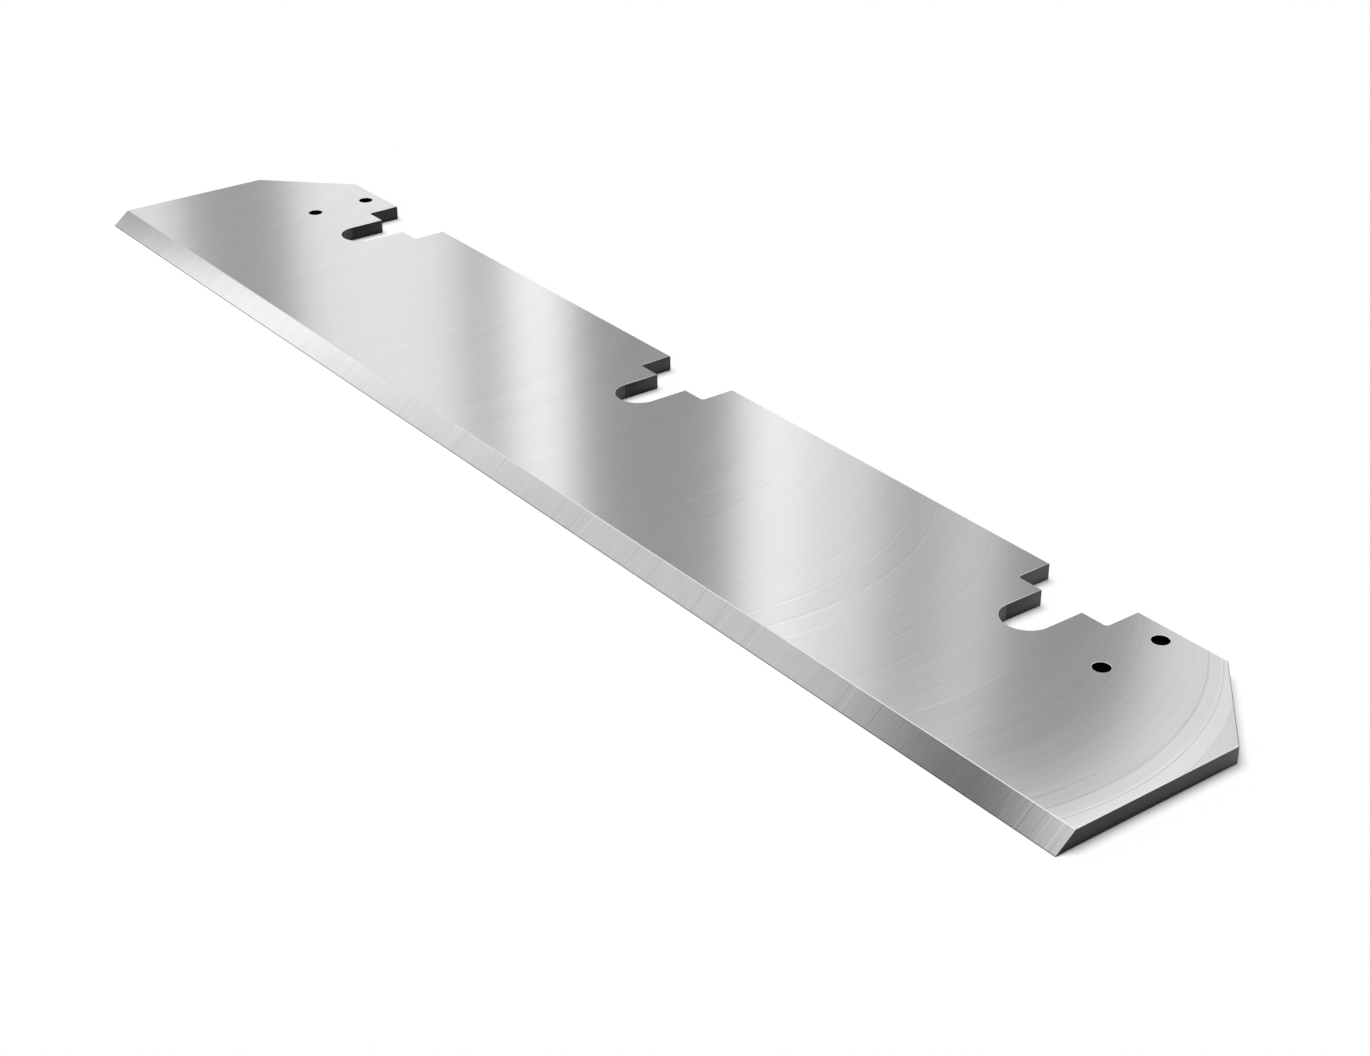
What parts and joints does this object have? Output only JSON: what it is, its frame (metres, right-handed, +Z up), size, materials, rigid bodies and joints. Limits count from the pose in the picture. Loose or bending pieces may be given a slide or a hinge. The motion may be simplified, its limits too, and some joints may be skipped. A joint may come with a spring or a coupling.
{
  "type": "flaker knife",
  "caption": "Flat steel flaker knife with one bevelled long edge, cut-off back corners, stepped clamping notches in the back edge and small setting holes.",
  "frame": {"origin": "middle of the flat underside", "axes": "+X along the blade's length, +Y from the cutting edge to the notched back edge, +Z up out of the top face that carries the bevel"},
  "size_m": [0.501, 0.09, 0.005],
  "materials": {
    "blade_steel": "ground faces with faint curved grinding marks, and darker walls round the outline and in the notches and holes"
  },
  "bodies": {
    "root": {"knife_blade": "blade_steel"}
  },
  "joints": []
}
